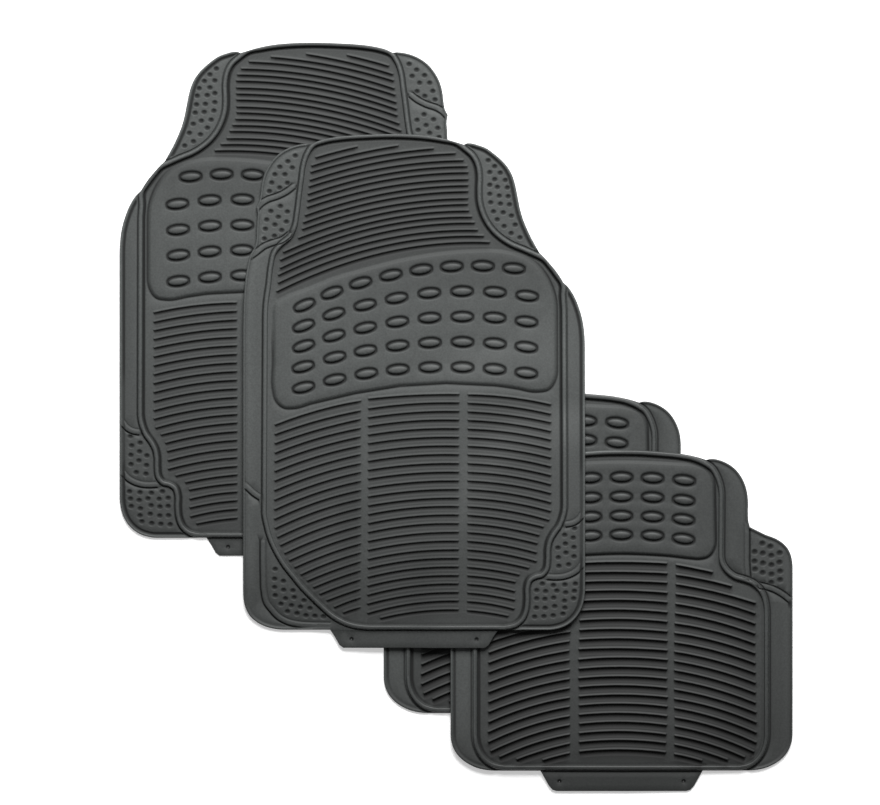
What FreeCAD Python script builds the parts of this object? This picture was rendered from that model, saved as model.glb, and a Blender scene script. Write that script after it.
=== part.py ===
import FreeCAD, Part
import math
import os

os.makedirs("parts", exist_ok=True)

# Set of four moulded rubber car floor mats, laid out as a stack that overlaps: two mirrored
# front mats (driver and passenger) and two equal rear mats. Millimetres. +X across the set,
# +Y towards the mats' noses, +Z up. The origin is at the bottom centre of the whole set.
# Each mat is one moulded piece of flexible rubber. It lies flat on the floor where nothing is
# under it and rides up over the mat below it, so three of the four are gently draped.

# ---- driving dimensions -------------------------------------------------------------------
FRONT_WIDTH = 457.2         # front mat across its widest part; every plan length follows it
SHEET_T = 3.0               # rubber sheet between the raised features
BEAD_H = 4.0                # main bead above the sheet
BEAD_W = 7.0                # width of the main bead
PAD_H = 1.0                 # raised stud panel above the sheet
TAB_HOLE_D = 5.0            # anchor holes in the tab
STACK_GAP = 0.8             # air between a bead's top and the mat that lies on it
FLOOR_GAP = 0.3             # draped mats stop this far above the floor
RAMP = 120.0                # distance over which an upper mat comes down to the next level
GRID = 15.0                 # spacing of the points that carry a draped surface
MAT_H = SHEET_T + BEAD_H    # thickness of one mat over its bead
PLAN = FRONT_WIDTH / 457.2  # the outlines and places below are written for a 457.2 mm mat

# where each mat's own origin stands: front mats at the middle of the straight lower edge,
# rear mats at the middle of the lower edge. hand -1 mirrors the front mat's outline.
PLACES = {
    "front_mat_left": {"kind": "front", "at": (-221.8, -161.9), "hand": -1},
    "rear_mat_left": {"kind": "rear", "at": (131.9, -396.6), "hand": 1},
    "rear_mat_right": {"kind": "rear", "at": (221.4, -473.4), "hand": 1},
    "front_mat_right": {"kind": "front", "at": (-56.3, -284.9), "hand": 1},
}
# each mat rests on the ones named here
RESTS_ON = {
    "front_mat_left": [],
    "rear_mat_left": ["front_mat_left"],
    "rear_mat_right": ["rear_mat_left"],
    "front_mat_right": ["front_mat_left", "rear_mat_left", "rear_mat_right"],
}

# ---- outlines, in each mat's own plane ------------------------------------------------------
# rounded shoulder lobe beside the mat's nose, right side
FRONT_LOBE_RIGHT = [
    (66.8, 648.9), (70.9, 650.8), (76.2, 650.8), (85.6, 648.4), (96.3, 644.4), (106.9, 637),
    (116.3, 629), (124.3, 620.3), (129.7, 611.6), (133.7, 601.6), (136.4, 590.9), (139, 577.5),
    (141.7, 564.1), (145.7, 550.1), (151.1, 536.7), (156.4, 525.4), (161.8, 515.4), (167.8, 504.7),
]
# the body's shoulder curve, where the main bead runs along the edge
FRONT_SHOULDER_RIGHT = [
    (167.8, 504.7), (175.1, 497.3), (183.1, 488.3), (189.8, 480.2), (195.2, 472.4), (199.9, 464.6),
]
# outer strip, long straight side, lower corner and lower edge up to the tab
FRONT_SIDE_RIGHT = [
    (199.9, 464.6), (205.9, 459.2), (211.2, 451.9), (215.9, 443.2), (220, 433.1), (223.5, 422.4),
    (226.2, 410.4), (227.9, 395.7), (228.6, 378.3), (228.6, 60.2), (227.7, 44.1), (224.6, 31.4),
    (219.2, 20.7), (211.2, 11.6), (201.9, 5.3), (191.2, 1.6), (179.1, 0), (112.3, 0),
]
# anchor tab below the lower edge
FRONT_TAB = [
    (112.3, 0), (106, -9.4), (100, -20.1), (94.9, -24.1), (-94.9, -24.1), (-100, -20.1),
    (-106, -9.4), (-112.3, 0),
]
# lower edge, lower corner and long side on the other hand
FRONT_SIDE_LEFT = [
    (-112.3, 0), (-172.5, 0), (-185.8, 1.1), (-197.9, 4), (-209.9, 9.9), (-219.2, 18),
    (-224.6, 27.4), (-227.5, 37.4), (-228.6, 49.5), (-228.6, 401.1), (-228.2, 421.1),
    (-227.5, 441.2), (-226.5, 457.2), (-224.9, 473.2), (-222.7, 486.6), (-219.2, 501.3),
]
# lower and upper shoulder lobes on that side, with the notch between them
FRONT_LOBE_LEFT_LOW = [
    (-219.2, 501.3), (-215.5, 507.3), (-212.3, 514), (-210.8, 522.7), (-210.4, 533.4),
    (-209.9, 545.4), (-209.1, 557.5), (-210.6, 566.2),
]
FRONT_LOBE_LEFT_HIGH = [
    (-210.6, 566.2), (-206.9, 573.5), (-205.3, 581.5), (-204.3, 590.9), (-202.4, 601.6),
    (-199.2, 611.6), (-193.8, 621.6), (-187.2, 630.3), (-179.1, 637.7), (-169.8, 643.3),
    (-159.1, 647.4), (-149.7, 649.4), (-141.7, 650), (-136.4, 649.4),
]
# nose of the mat, towards the pedals
FRONT_NOSE = [
    (-136.4, 649.4), (-128.3, 653.4), (-117.6, 656.4), (-104.3, 658.8), (-85.6, 660.7),
    (-58.8, 662.1), (-25.4, 662.8), (1.3, 661.9), (21.4, 660), (34.8, 657.7), (48.1, 654.5),
    (58.8, 651.3), (66.8, 648.9),
]
# centre line of the tall bead that frames the ribbed field
FRONT_BEAD = [
    (-25.4, 658.3), (1.3, 657.4), (21.4, 655.5), (38.7, 652.2), (54.8, 647.3), (68.2, 641.1),
    (77.5, 633), (84, 621.6), (86.9, 606.9), (87.2, 588.2), (88.2, 572.2), (92.2, 557.5),
    (98.9, 544.1), (107.6, 533), (119, 523.2), (132.3, 515.2), (147.1, 508.9), (160.4, 502.7),
    (172, 494.2), (181.6, 483.3), (190, 472.2), (196.8, 459.9), (199.2, 443.8), (199.9, 425.1),
    (199.9, 167.1), (198.1, 151.1), (193.6, 139), (186.9, 129.7), (181.3, 119), (178.9, 106.9),
    (178.6, 92.2), (176.7, 80.9), (171.1, 74.1), (161.8, 71.4), (154.5, 66.6), (151.3, 57.5),
    (150.5, 40.1), (148.7, 26.7), (144.1, 16), (136.4, 8.8), (124.3, 5.1), (108.3, 4.3),
    (-45.5, 4.3), (-66.8, 4.9), (-82.9, 7.8), (-97.6, 13.6), (-111, 22.1), (-123, 32.8),
    (-136.4, 45.7), (-149.7, 59.1), (-161.8, 72.5), (-172.5, 85.6), (-180.5, 98.3), (-187.2, 111),
    (-192.5, 124.3), (-195.7, 139), (-197.1, 157.7), (-197.2, 401.1), (-196.2, 434.5),
    (-194.1, 462.5), (-191.2, 486.6), (-186.5, 504.7), (-176.5, 516.7), (-165.8, 526),
    (-159.6, 538.7), (-156.4, 556.1), (-153.7, 577.5), (-150.5, 601.6), (-147.3, 623),
    (-142.4, 636.9), (-133, 646.2), (-118.8, 651.5), (-98.9, 654.9), (-65.5, 657.4),
]
# edge of the raised heel pad that carries the oval studs
FRONT_PLATEAU = [
    (28.1, 502.1), (74.9, 506.4), (120.3, 505.6), (147.1, 498.6), (165.8, 485.3), (179.1, 466.6),
    (187.2, 445.2), (189.3, 421.1), (189.6, 347.6), (187.2, 333.5), (179.1, 322.2), (165.8, 318.4),
    (135, 322.2), (104.3, 326.2), (42.8, 329.1), (-18.7, 324.9), (-78.9, 315.2), (-136.4, 302.1),
    (-161.8, 296.5), (-174.5, 298.7), (-183.4, 306.9), (-186.9, 319.5), (-187.2, 360.9),
    (-187.2, 425.1), (-184.5, 436.3), (-173.8, 443.2), (-140.4, 455.9), (-109.6, 467.9),
    (-64.2, 481.9), (-18.7, 493.6),
]
# centres of the two anchor holes in the tab
FRONT_HOLES = [
    (-83.6, -12.4), (83.6, -12.4),
]
# right half of the nose; the rear mat mirrors about x = 0
REAR_NOSE = [
    (0, 429.1), (24.4, 428.7), (51.1, 427), (77.9, 424.3), (93.9, 421.4), (104.6, 418.7),
    (113.3, 415.8),
]
# smooth upper side lobe
REAR_SHOULDER = [
    (113.3, 415.8), (117.3, 417.1), (123.3, 417.2), (131.3, 415.5), (140.7, 411.5), (150.1, 405.1),
    (158.1, 396), (163.4, 386.3), (167.2, 375), (168.8, 362.3), (168.8, 342.2), (169.2, 334.2),
    (171.4, 326.2),
]
# wider lower side, its corner and the lower edge up to the tab
REAR_WING = [
    (171.4, 326.2), (176.8, 323.5), (184.8, 319.5), (194.2, 315.1), (203.5, 311.8), (211.6, 307.5),
    (219.6, 300.8), (224.9, 292.8), (228, 282.1), (228.9, 267.4), (228.9, 50.8), (228, 40.1),
    (224.9, 30.1), (219.6, 21.4), (211.6, 13.6), (202.2, 7.6), (191.5, 3.2), (179.5, 0.8),
    (164.8, 0), (108.6, 0),
]
# half of the anchor tab
REAR_TAB = [
    (108.6, 0), (103.3, -9.4), (97.4, -20.1), (92.3, -25.9), (86.6, -27.5), (0, -27.5),
]
# centre line of the tall bead, right half, from the nose to the lower edge
REAR_BEAD = [
    (0, 424.7), (24.4, 424.3), (51.1, 422.5), (77.9, 419.8), (95.2, 416.5), (110, 411.5),
    (120.6, 404), (128.1, 393.7), (132.5, 380.3), (134, 363.6), (134.2, 291.4), (135.9, 278.1),
    (141.5, 267.1), (150.7, 259.6), (162.8, 255.3), (173.5, 251.1), (182.1, 244.1), (188.4, 234.2),
    (191.8, 221.2), (192.6, 204.5), (192.6, 50.8), (191.4, 37.4), (187.2, 25.7), (180.5, 16),
    (171.4, 9), (159.4, 5.3), (140.7, 4.4), (0, 4.1),
]
# edge of the raised stud panel, right half
REAR_PLATEAU = [
    (0, 416.3), (37.8, 415.2), (71.2, 412.8), (96.6, 409.1), (110.6, 402.4), (119, 392),
    (122.5, 378.3), (122.7, 310.1), (120.6, 298.1), (114.4, 289.3), (103.9, 285), (91.2, 285),
    (64.5, 287.2), (37.8, 288.9), (0, 290.1),
]
# anchor hole, right half
REAR_HOLES = [
    (83.2, -14.4),
]

FRONT_SPANS = [FRONT_LOBE_RIGHT, FRONT_SHOULDER_RIGHT, FRONT_SIDE_RIGHT, FRONT_TAB,
               FRONT_SIDE_LEFT, FRONT_LOBE_LEFT_LOW, FRONT_LOBE_LEFT_HIGH, FRONT_NOSE]


def mirrored(points):
    return [(-x, y) for x, y in reversed(points)]


REAR_SPANS = [REAR_NOSE, REAR_SHOULDER, REAR_WING, REAR_TAB,
              mirrored(REAR_TAB), mirrored(REAR_WING), mirrored(REAR_SHOULDER),
              mirrored(REAR_NOSE)]
REAR_BEAD_LOOP = REAR_BEAD + mirrored(REAR_BEAD)[1:-1]
REAR_PLATEAU_LOOP = REAR_PLATEAU + mirrored(REAR_PLATEAU)[1:-1]
REAR_HOLES_BOTH = REAR_HOLES + mirrored(REAR_HOLES)

SHAPES = {
    "front": {"spans": FRONT_SPANS, "bead": FRONT_BEAD, "pad": FRONT_PLATEAU,
              "holes": FRONT_HOLES},
    "rear": {"spans": REAR_SPANS, "bead": REAR_BEAD_LOOP, "pad": REAR_PLATEAU_LOOP,
             "holes": REAR_HOLES_BOTH},
}
LONG_RUN = 55.0             # a gap between two points longer than this is a straight edge


def put(name, p):
    """A point of a mat's own plane, in the set's frame."""
    place = PLACES[name]
    return (PLAN * (place["at"][0] + place["hand"] * p[0]), PLAN * (place["at"][1] + p[1]))


def edges_through(points):
    """Edges through the points: smooth curves, with straight edges over the long runs."""
    edges, run = [], [points[0]]

    def close_run():
        if len(run) == 2:
            edges.append(Part.makeLine(FreeCAD.Vector(run[0][0], run[0][1], 0),
                                       FreeCAD.Vector(run[1][0], run[1][1], 0)))
        elif len(run) > 2:
            curve = Part.BSplineCurve()
            curve.interpolate([FreeCAD.Vector(x, y, 0) for x, y in run])
            edges.append(curve.toShape())

    for a, b in zip(points, points[1:]):
        if math.dist(a, b) > LONG_RUN:
            close_run()
            edges.append(Part.makeLine(FreeCAD.Vector(a[0], a[1], 0),
                                       FreeCAD.Vector(b[0], b[1], 0)))
            run = [b]
        else:
            run.append(b)
    close_run()
    return edges


def loop_edges(points):
    """Closed loop of edges; it starts on a long straight run where there is one."""
    n = len(points)
    start = 0
    for i in range(n):
        if math.dist(points[i - 1], points[i]) > LONG_RUN:
            start = i
            break
    ring = points[start:] + points[:start] + [points[start]]
    return edges_through(ring)


def prism(edges, low=-20.0, high=80.0):
    wire = Part.Wire(Part.__sortEdges__(edges))
    face = Part.Face(wire)
    face.translate(FreeCAD.Vector(0, 0, low))
    return face.extrude(FreeCAD.Vector(0, 0, high - low))


def tab_edges(points):
    """The tab's straight flanks and free edge, with short corners."""
    return [Part.makeLine(FreeCAD.Vector(a[0], a[1], 0), FreeCAD.Vector(b[0], b[1], 0))
            for a, b in zip(points, points[1:])]


def outline_edges(name):
    kind = PLACES[name]["kind"]
    edges = []
    for span in SHAPES[kind]["spans"]:
        moved = [put(name, p) for p in span]
        tab = span is FRONT_TAB or span is REAR_TAB or span == mirrored(REAR_TAB)
        edges += tab_edges(moved) if tab else edges_through(moved)
    return edges


def offset_loop(points, shift):
    """Loop moved sideways by shift. Beside a straight run the normal is the run's own."""
    n = len(points)
    out = []
    for i in range(n):
        a, p, b = points[i - 1], points[i], points[(i + 1) % n]
        da, db = math.dist(a, p), math.dist(p, b)
        ta = ((p[0] - a[0]) / da, (p[1] - a[1]) / da)
        tb = ((b[0] - p[0]) / db, (b[1] - p[1]) / db)
        if da > LONG_RUN:
            t = ta
        elif db > LONG_RUN:
            t = tb
        else:
            t = (ta[0] * db + tb[0] * da, ta[1] * db + tb[1] * da)
            size = math.hypot(*t)
            t = (t[0] / size, t[1] / size)
        out.append((p[0] - t[1] * shift, p[1] + t[0] * shift))
    return out


# ---- how the mats drape over each other -----------------------------------------------------
def hull_of(points):
    pts = sorted(set(points))

    def half(seq):
        out = []
        for p in seq:
            while len(out) > 1 and ((out[-1][0] - out[-2][0]) * (p[1] - out[-2][1])
                                    - (out[-1][1] - out[-2][1]) * (p[0] - out[-2][0])) <= 0:
                out.pop()
            out.append(p)
        return out[:-1]

    return half(pts) + half(pts[::-1])


HULLS = {name: hull_of([put(name, p) for span in SHAPES[place["kind"]]["spans"] for p in span])
         for name, place in PLACES.items()}


def distance_outside(poly, x, y):
    """Distance from a convex polygon; 0 inside it."""
    inside, best = True, 1e9
    for i in range(len(poly)):
        ax, ay = poly[i - 1]
        bx, by = poly[i]
        ex, ey = bx - ax, by - ay
        if ex * (y - ay) - ey * (x - ax) < 0:
            inside = False
        t = max(0.0, min(1.0, ((x - ax) * ex + (y - ay) * ey) / (ex * ex + ey * ey)))
        best = min(best, math.hypot(x - ax - t * ex, y - ay - t * ey))
    return 0.0 if inside else best


def support(name, x, y):
    """1 over the mat below, easing to 0 at RAMP beyond its edge."""
    s = min(1.0, distance_outside(HULLS[name], x, y) / RAMP)
    return 1.0 - s * s * (3.0 - 2.0 * s)


def underside(name, x, y):
    """Height of a mat's underside above the floor."""
    levels = []
    for lower in RESTS_ON[name]:
        levels.append((underside(lower, x, y) + MAT_H + STACK_GAP) * support(lower, x, y))
    return sum(v ** 8 for v in levels) ** 0.125 if levels else 0.0


def draped_slab(name, low, high):
    """Everything between two copies of the mat's underside surface."""
    pts = [put(name, p) for span in SHAPES[PLACES[name]["kind"]]["spans"] for p in span]
    x0, x1 = min(p[0] for p in pts) - 12.0, max(p[0] for p in pts) + 12.0
    y0, y1 = min(p[1] for p in pts) - 12.0, max(p[1] for p in pts) + 12.0
    if not RESTS_ON[name]:
        return Part.makeBox(x1 - x0, y1 - y0, high - low, FreeCAD.Vector(x0, y0, low))
    nx, ny = int((x1 - x0) / GRID) + 1, int((y1 - y0) / GRID) + 1
    if name not in GRIDS:
        GRIDS[name] = [[(x0 + (x1 - x0) * i / nx, y0 + (y1 - y0) * j / ny,
                         FLOOR_GAP + underside(name, x0 + (x1 - x0) * i / nx,
                                               y0 + (y1 - y0) * j / ny))
                        for j in range(ny + 1)] for i in range(nx + 1)]
    surface = Part.BSplineSurface()
    surface.interpolate([[FreeCAD.Vector(x, y, z + low) for x, y, z in row]
                         for row in GRIDS[name]])
    return surface.toShape().extrude(FreeCAD.Vector(0, 0, high - low))


GRIDS = {}


# ---- one mat --------------------------------------------------------------------------------
def mat(name):
    shape = SHAPES[PLACES[name]["kind"]]
    body = draped_slab(name, 0.0, SHEET_T).common(prism(outline_edges(name)))
    centre = [put(name, p) for p in shape["bead"]]
    ring_a = prism(loop_edges(offset_loop(centre, BEAD_W / 2)))
    ring_b = prism(loop_edges(offset_loop(centre, -BEAD_W / 2)))
    outer, inner = (ring_a, ring_b) if ring_a.Volume > ring_b.Volume else (ring_b, ring_a)
    bead = draped_slab(name, SHEET_T - 1.2, SHEET_T + BEAD_H).common(outer.cut(inner))
    pad_edge = [put(name, p) for p in shape["pad"]]
    pad = draped_slab(name, SHEET_T - 1.6, SHEET_T + PAD_H).common(prism(loop_edges(pad_edge)))
    body = body.fuse(bead).fuse(pad)
    for hole in shape["holes"]:
        x, y = put(name, hole)
        body = body.cut(Part.makeCylinder(TAB_HOLE_D / 2, 100.0, FreeCAD.Vector(x, y, -20.0)))
    solids = sorted(body.Solids, key=lambda s: s.Volume)
    return solids[-1], len(solids)


mats = {name: mat(name) for name in PLACES}

# bring the set's bottom centre exactly onto the origin
boxes = [s.optimalBoundingBox() for s, _ in mats.values()]
shift = FreeCAD.Vector(-(min(b.XMin for b in boxes) + max(b.XMax for b in boxes)) / 2,
                       -(min(b.YMin for b in boxes) + max(b.YMax for b in boxes)) / 2, 0)
for name, (solid, count) in mats.items():
    solid = solid.copy()
    solid.translate(shift)
    solid.exportStep("parts/%s.step" % name)
    b = solid.optimalBoundingBox()
    print(name, "solids", count, "valid", solid.isValid(), "closed", solid.isClosed(),
          "litres %.3f" % (solid.Volume / 1e6),
          "box %.1f %.1f %.2f to %.1f %.1f %.2f" % (b.XMin, b.YMin, b.ZMin,
                                                    b.XMax, b.YMax, b.ZMax))
print("shift", shift.x, shift.y)
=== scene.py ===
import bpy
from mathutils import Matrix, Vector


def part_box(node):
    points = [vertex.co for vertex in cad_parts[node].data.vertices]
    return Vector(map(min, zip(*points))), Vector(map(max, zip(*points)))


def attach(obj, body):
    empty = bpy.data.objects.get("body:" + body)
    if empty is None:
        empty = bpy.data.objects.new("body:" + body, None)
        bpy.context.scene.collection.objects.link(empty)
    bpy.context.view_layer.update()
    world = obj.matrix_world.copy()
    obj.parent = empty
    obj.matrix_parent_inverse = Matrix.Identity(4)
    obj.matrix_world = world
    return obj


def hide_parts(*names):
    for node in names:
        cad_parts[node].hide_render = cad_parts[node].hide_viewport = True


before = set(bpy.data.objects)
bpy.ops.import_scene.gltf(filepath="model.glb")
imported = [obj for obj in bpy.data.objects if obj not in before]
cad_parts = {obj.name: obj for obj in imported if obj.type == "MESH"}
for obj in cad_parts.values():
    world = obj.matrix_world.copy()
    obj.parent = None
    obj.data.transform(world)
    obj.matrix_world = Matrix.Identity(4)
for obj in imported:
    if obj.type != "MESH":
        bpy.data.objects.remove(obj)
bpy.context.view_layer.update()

import math

import bpy
import numpy as np
from mathutils import Vector
from mathutils.geometry import delaunay_2d_cdt

# Four moulded rubber floor mats. Each one is a single closed relief mesh: sheet, rim, main bead,
# ribs, oval studs, dimpled side lobes, raised stud panel and anchor tab with two holes.
# The tables are in millimetres, in each mat's own plane; everything built is in metres.

T_SHEET = 3.0
BEAD_H, BEAD_W = 3.5, 3.3
BEAD_IN = {"front": (2.9, 7.4, 2.2), "rear": (2.9, 8.2, 2.0)}      # groove inside the bead
BEAD_OUT = {"front": (2.9, 5.4, 1.5), "rear": (3.7, 7.0, 1.6)}     # groove outside it
# how strong the inner groove is on the mat's left and right, then the outer groove
SIDES = {"front": (0.0, 1.0, 1.0, 0.7), "rear": (0.85, 0.15, 0.75, 0.9)}
RIM_H, RIM_W = 1.4, 3.7
RIB_H = {"front": 0.6, "rear": 1.1}
RIB_UP, RIB_LOW = 2.8, 1.3                  # gentle upper flank, steep lower flank
RIB_CUT = {"front": 1.7, "rear": 2.3}       # depth of the trough under the steep flank
RIB_END = {"front": 6.6, "rear": 9.2}       # where the trough has come back up
PAD_H = {"front": 2.4, "rear": 2.4}
PAD_BEVEL = {"front": 2.9, "rear": 2.4}
STUD_H, STUD_A, STUD_B = 1.8, 12.9, 4.9
MOAT_W, MOAT_D = 3.6, 2.2
PIT_D, PIT_R = 1.9, {"front": 4.2, "rear": 4.9}
SEAM_H, SEAM_W = 0.8, 3.1
GROOVE_DARK = 0.84                          # painted shade: how much darker the grooves are
PAD_FOOT = {"front": 1.2, "rear": 1.8}      # groove round the pad's foot
PANEL_DARK = {"front": 0.44, "rear": 0.88}   # painted shadow at the foot of each rib, below it
STACK_GAP, FLOOR_GAP, RAMP, MAT_H = 0.8, 0.3, 120.0, 7.0

FRONT_BODY = [
    [(66.8, 648.9), (70.9, 650.8), (76.2, 650.8), (85.6, 648.4), (96.3, 644.4), (106.9, 637), (116.3, 629), (124.3, 620.3), (129.7, 611.6), (133.7, 601.6), (136.4, 590.9), (139, 577.5), (141.7, 564.1), (145.7, 550.1), (151.1, 536.7), (156.4, 525.4), (161.8, 515.4), (167.8, 504.7)],
    [(167.8, 504.7), (175.1, 497.3), (183.1, 488.3), (189.8, 480.2), (195.2, 472.4), (199.9, 464.6)],
    [(199.9, 464.6), (205.9, 459.2), (211.2, 451.9), (215.9, 443.2), (220, 433.1), (223.5, 422.4), (226.2, 410.4), (227.9, 395.7), (228.6, 378.3), (228.6, 60.2), (227.7, 44.1), (224.6, 31.4), (219.2, 20.7), (211.2, 11.6), (201.9, 5.3), (191.2, 1.6), (179.1, 0), (112.3, 0)],
]
FRONT_BODY_2 = [
    [(-112.3, 0), (-172.5, 0), (-185.8, 1.1), (-197.9, 4), (-209.9, 9.9), (-219.2, 18), (-224.6, 27.4), (-227.5, 37.4), (-228.6, 49.5), (-228.6, 401.1), (-228.2, 421.1), (-227.5, 441.2), (-226.5, 457.2), (-224.9, 473.2), (-222.7, 486.6), (-219.2, 501.3)],
    [(-219.2, 501.3), (-215.5, 507.3), (-212.3, 514), (-210.8, 522.7), (-210.4, 533.4), (-209.9, 545.4), (-209.1, 557.5), (-210.6, 566.2)],
    [(-210.6, 566.2), (-206.9, 573.5), (-205.3, 581.5), (-204.3, 590.9), (-202.4, 601.6), (-199.2, 611.6), (-193.8, 621.6), (-187.2, 630.3), (-179.1, 637.7), (-169.8, 643.3), (-159.1, 647.4), (-149.7, 649.4), (-141.7, 650), (-136.4, 649.4)],
    [(-136.4, 649.4), (-128.3, 653.4), (-117.6, 656.4), (-104.3, 658.8), (-85.6, 660.7), (-58.8, 662.1), (-25.4, 662.8), (1.3, 661.9), (21.4, 660), (34.8, 657.7), (48.1, 654.5), (58.8, 651.3), (66.8, 648.9)],
]
FRONT_TAB = [
    (112.3, 0), (106, -9.4), (100, -20.1), (94.9, -24.1), (-94.9, -24.1), (-100, -20.1), (-106, -9.4),
    (-112.3, 0),
]
FRONT_BEAD = [
    (-25.3, 660.8), (1.6, 659.8), (21.8, 657.9), (39.4, 655), (56.2, 651.4), (69.1, 642.4),
    (78.6, 633.9), (84.9, 622), (87.5, 607), (87.1, 588.2), (87.8, 572.1), (91.7, 557.3), (98.4, 543.7),
    (107.1, 532.5), (118.6, 522.7), (132.1, 514.7), (147, 508.7), (160.5, 502.7), (173.9, 495.9),
    (183.5, 484.9), (191.9, 473.6), (199, 462.5), (199.5, 443.8), (200.7, 425.1), (201.3, 167.1),
    (198.9, 150.9), (194.1, 138.8), (187.3, 129.4), (181.6, 118.9), (179.1, 106.9), (178.8, 92.2),
    (176.9, 80.8), (171.2, 73.9), (161.8, 71.2), (154.7, 66.5), (151.6, 57.4), (151.3, 40),
    (149.8, 26.4), (145.2, 15.3), (137, 7.7), (124.5, 3.9), (108.3, 3.7), (-45.5, 3.4), (-67, 3.8),
    (-83.3, 6.3), (-98.4, 12.1), (-112, 20.7), (-124.1, 31.6), (-137.5, 44.6), (-150.6, 58.3),
    (-161.9, 72.3), (-172.5, 85.6), (-180.5, 98.3), (-187.2, 110.9), (-192.8, 124.2), (-196.8, 138.8),
    (-200.1, 157.7), (-198.8, 401.1), (-197.9, 434.5), (-194.1, 462.5), (-191.2, 486.6),
    (-186.5, 504.7), (-176.5, 516.7), (-165.8, 526), (-159.6, 538.7), (-156.4, 556.1), (-153.7, 577.5),
    (-150.5, 601.6), (-147.3, 623), (-142.4, 636.9), (-134.1, 648.3), (-119.4, 653.8), (-99.1, 657.3),
    (-65.6, 659.8),
]
FRONT_PAD = [
    (28.1, 501.9), (74.9, 506.2), (120.3, 505.4), (146.9, 498.3), (165.5, 485), (178.9, 466.4),
    (186.8, 445.1), (188.8, 421.1), (188.8, 347.6), (186.4, 333.8), (179.1, 323.1), (165.8, 320.3),
    (135, 325), (104.3, 328.9), (42.8, 331.9), (-18.7, 328.1), (-78.9, 318.3), (-136.4, 304.7),
    (-161.8, 298), (-174.5, 299.1), (-182.9, 307.3), (-186.2, 319.6), (-186.1, 361), (-187.3, 425.1),
    (-184.7, 436.5), (-173.9, 443.5), (-140.5, 456.2), (-109.9, 468.7), (-64.2, 482), (-18.7, 493.6),
]
FRONT_HOLES = [
    (-83.6, -12.4), (83.6, -12.4),
]
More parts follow.
